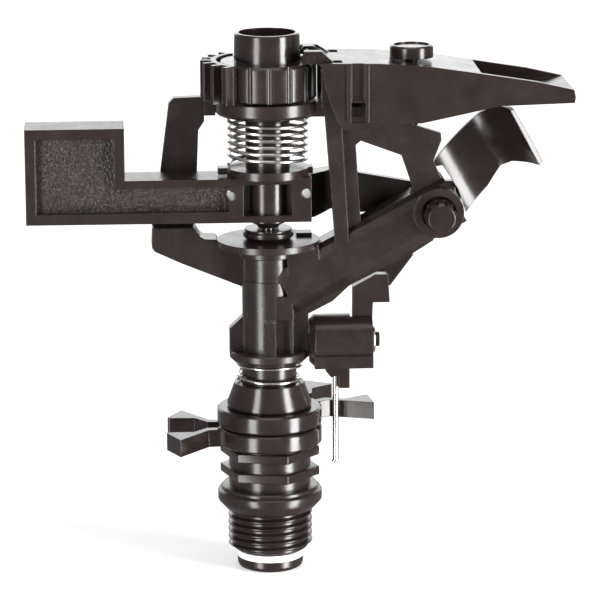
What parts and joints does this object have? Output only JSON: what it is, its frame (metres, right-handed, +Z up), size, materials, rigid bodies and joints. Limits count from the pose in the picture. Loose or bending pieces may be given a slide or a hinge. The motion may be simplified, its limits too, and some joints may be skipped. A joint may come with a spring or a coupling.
{
  "type": "impact sprinkler",
  "caption": "Part-circle plastic impact sprinkler with a sprung swinging arm, slanting nozzle barrel, range flap, trip gear, squeeze collars and a male pipe-thread inlet.",
  "frame": {"origin": "on the turning axis, at the shoulder above the inlet thread", "axes": "+Z up the turning axis, +X towards the nozzle side at rest, the front of the object faces -Y"},
  "size_m": [0.1324, 0.04, 0.1341],
  "materials": {
    "black_plastic": "satin moulded",
    "white_plastic": "smooth",
    "seal_rubber": "matte",
    "stainless_steel": "bright drawn wire"
  },
  "bodies": {
    "inlet": {"inlet_nipple": "black_plastic", "dust_cone": "black_plastic"},
    "lower_collar": {"lower_trip_collar": "black_plastic"},
    "upper_collar": {"upper_trip_collar": "black_plastic"},
    "rotor": {"bearing_stem": "black_plastic", "white_washer": "white_plastic", "rubber_seal": "seal_rubber", "bearing_spring": "stainless_steel", "body": "black_plastic", "nozzle_insert": "black_plastic", "stream_straightener": "black_plastic", "left_bracket": "black_plastic", "front_posts": "black_plastic", "top_ring": "black_plastic", "thumb_grip": "black_plastic", "fulcrum_pin": "stainless_steel", "hub_seat": "black_plastic", "hub_washer": "black_plastic", "arm_spring": "stainless_steel", "flap_hinge_pin": "black_plastic", "trip_housing": "black_plastic", "trip_spring": "stainless_steel"},
    "screw": {"diffuser_screw": "black_plastic"},
    "arm": {"impact_arm": "black_plastic", "drive_spoon": "black_plastic", "arm_bush": "black_plastic", "spring_seat": "black_plastic"},
    "knob": {"tension_knob": "black_plastic"},
    "flap": {"range_flap": "black_plastic"},
    "dial": {"flap_dial": "black_plastic"},
    "trip": {"trip_lever": "black_plastic", "trip_wire": "stainless_steel"}
  },
  "joints": [
    {"name": "body_spin", "type": "hinge", "parent": "inlet", "child": "rotor", "pos_m": [0, 0, 0.02], "axis": [0, 0, 1], "range_deg": [-128, 10]},
    {"name": "lower_collar_turn", "type": "hinge", "parent": "inlet", "child": "lower_collar", "pos_m": [0, 0, 0.0186], "axis": [0, 0, 1], "range_deg": [-90, 0]},
    {"name": "upper_collar_turn", "type": "hinge", "parent": "inlet", "child": "upper_collar", "pos_m": [0, 0, 0.0234], "axis": [0, 0, 1], "range_deg": [0, 90]},
    {"name": "arm_swing", "type": "hinge", "parent": "rotor", "child": "arm", "pos_m": [0, 0, 0.0784], "axis": [0, 0, 1], "range_deg": [0, 100], "stiffness_Nm_per_rad": 0.01, "springref_deg": -34.38},
    {"name": "tension_knob_turn", "type": "hinge", "parent": "rotor", "child": "knob", "pos_m": [0, 0, 0.107], "axis": [0, 0, 1], "range_deg": [0, 180]},
    {"name": "flap_tilt", "type": "hinge", "parent": "rotor", "child": "flap", "pos_m": [0.0099, 0, 0.1134], "axis": [0, -1, 0], "range_deg": [0, 12]},
    {"name": "dial_turn", "type": "hinge", "parent": "flap", "child": "dial", "pos_m": [0.035, 0, 0.112], "axis": [0, 0, 1], "range_deg": [0, 270]},
    {"name": "trip_flip", "type": "hinge", "parent": "rotor", "child": "trip", "pos_m": [0.018, 0, 0.042], "axis": [1, 0, 0], "range_deg": [-16, 0]},
    {"name": "diffuser_screw_in", "type": "slide", "parent": "rotor", "child": "screw", "axis": [0, 1, 0], "range_m": [0, 0.003]}
  ],
  "couplings": [
    {"joint": "dial_turn", "follows": "flap_tilt", "ratio": 22.5}
  ]
}
